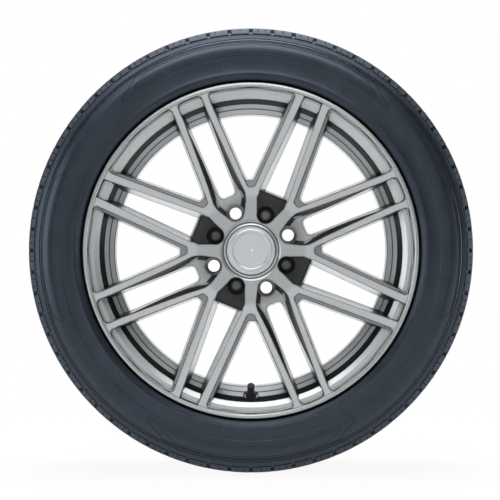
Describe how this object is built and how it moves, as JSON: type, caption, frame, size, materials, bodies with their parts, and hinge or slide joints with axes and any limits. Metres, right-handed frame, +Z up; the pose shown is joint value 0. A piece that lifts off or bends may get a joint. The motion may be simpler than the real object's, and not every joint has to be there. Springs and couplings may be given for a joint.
{
  "type": "car wheel with tyre",
  "caption": "Low-profile car tyre on a one-piece cast alloy wheel with forked spokes, open and blanked lug holes, a snap-in centre cap and a snap-in valve.",
  "frame": {"origin": "centre of the tyre on the spin axis", "axes": "Y is the spin axis with the outer face towards -Y, +Z is up with the valve at the bottom, +X is to the right seen from outside"},
  "size_m": [0.6342, 0.225, 0.6342],
  "materials": {
    "tyre_rubber": "matt moulded rubber",
    "wheel_paint": "satin gunmetal grey lacquer on cast aluminium",
    "cap_paint": "satin grey lacquer",
    "plug_plastic": "black moulding",
    "valve_black": "black rubber",
    "valve_brass": "turned",
    "spring_steel": "drawn wire",
    "valve_cap_plastic": "black moulding"
  },
  "bodies": {
    "wheel": {"tyre": "tyre_rubber", "alloy_wheel": "wheel_paint", "centre_cap": "cap_paint", "cap_spring_ring": "spring_steel", "lug_hole_plug_1": "plug_plastic", "lug_hole_plug_2": "plug_plastic", "lug_hole_plug_3": "plug_plastic", "lug_hole_plug_4": "plug_plastic", "valve_rubber": "valve_black", "valve_stem": "valve_brass", "valve_core": "valve_brass", "valve_spring": "spring_steel"},
    "pin": {"valve_pin": "valve_brass"},
    "seal": {"valve_cap_seal": "valve_black"},
    "screw_cap": {"valve_cap": "valve_cap_plastic"}
  },
  "joints": [
    {"name": "valve_pin_press", "type": "slide", "parent": "wheel", "child": "pin", "axis": [0, 0.6428, -0.766], "range_m": [0, 0.0012], "stiffness_N_per_m": 1500, "springref_m": -0.002, "deforming": ["valve_spring"]},
    {"name": "valve_cap_lift", "type": "slide", "parent": "wheel", "child": "seal", "axis": [0, -0.6428, 0.766], "range_m": [0, 0.0095]},
    {"name": "valve_cap_turn", "type": "hinge", "parent": "seal", "child": "screw_cap", "pos_m": [0, -0.08143, -0.19274], "axis": [0, -0.6428, 0.766], "range_deg": [0, 4400]}
  ],
  "couplings": [
    {"joint": "valve_cap_turn", "follows": "valve_cap_lift", "rad_per_m": 7913.3}
  ]
}
